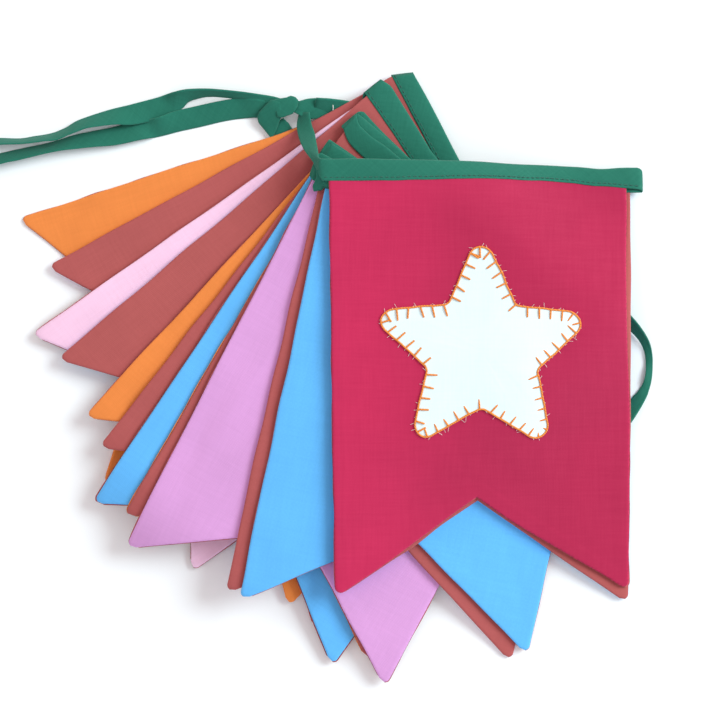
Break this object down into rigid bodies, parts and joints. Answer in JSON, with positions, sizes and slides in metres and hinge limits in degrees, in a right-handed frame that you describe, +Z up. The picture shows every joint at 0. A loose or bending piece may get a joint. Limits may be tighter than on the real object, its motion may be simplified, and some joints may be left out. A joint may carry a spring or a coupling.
{
  "type": "fabric bunting",
  "caption": "String of swallow-tailed cloth flags on a folded tape heading, laid flag on flag, fanned out and knotted at its ends, with a star sewn on the top flag.",
  "frame": {"origin": "on the surface that the bunting lies on, under the middle of its box", "axes": "+Z up from the surface; +X along the top flag's heading, away from the ties; +Y from the top flag's tails towards its heading"},
  "size_m": [0.4506, 0.3566, 0.0406],
  "materials": {
    "crimson_linen": "slubby plain weave, matt",
    "blue_cotton": "plain weave, matt",
    "lilac_cotton": "plain weave, matt",
    "pink_cotton": "plain weave, matt",
    "orange_cotton": "plain weave, matt",
    "brick_cotton": "plain weave, matt",
    "green_tape": "close plain weave bias tape, pressed",
    "white_cotton": "plain weave, matt, blanket-stitched edge"
  },
  "bodies": {
    "root": {"flag_01_front": "crimson_linen", "flag_01_back": "brick_cotton", "flag_02_front": "blue_cotton", "flag_02_back": "brick_cotton", "flag_03_front": "blue_cotton", "flag_03_back": "brick_cotton", "flag_04_front": "pink_cotton", "flag_04_back": "brick_cotton", "flag_05_front": "lilac_cotton", "flag_05_back": "brick_cotton", "flag_06_front": "orange_cotton", "flag_06_back": "brick_cotton", "flag_07_front": "blue_cotton", "flag_07_back": "brick_cotton", "flag_08_front": "crimson_linen", "flag_08_back": "brick_cotton", "flag_09_front": "orange_cotton", "flag_09_back": "brick_cotton", "flag_10_front": "blue_cotton", "flag_10_back": "brick_cotton", "flag_11_front": "pink_cotton", "flag_11_back": "brick_cotton", "flag_12_front": "lilac_cotton", "flag_12_back": "brick_cotton", "flag_13_front": "orange_cotton", "flag_13_back": "brick_cotton", "applique_star": "white_cotton", "heading_tape": "green_tape", "tie_knot": "green_tape", "tie_tail_upper": "green_tape", "tie_tail_lower": "green_tape"}
  },
  "joints": []
}
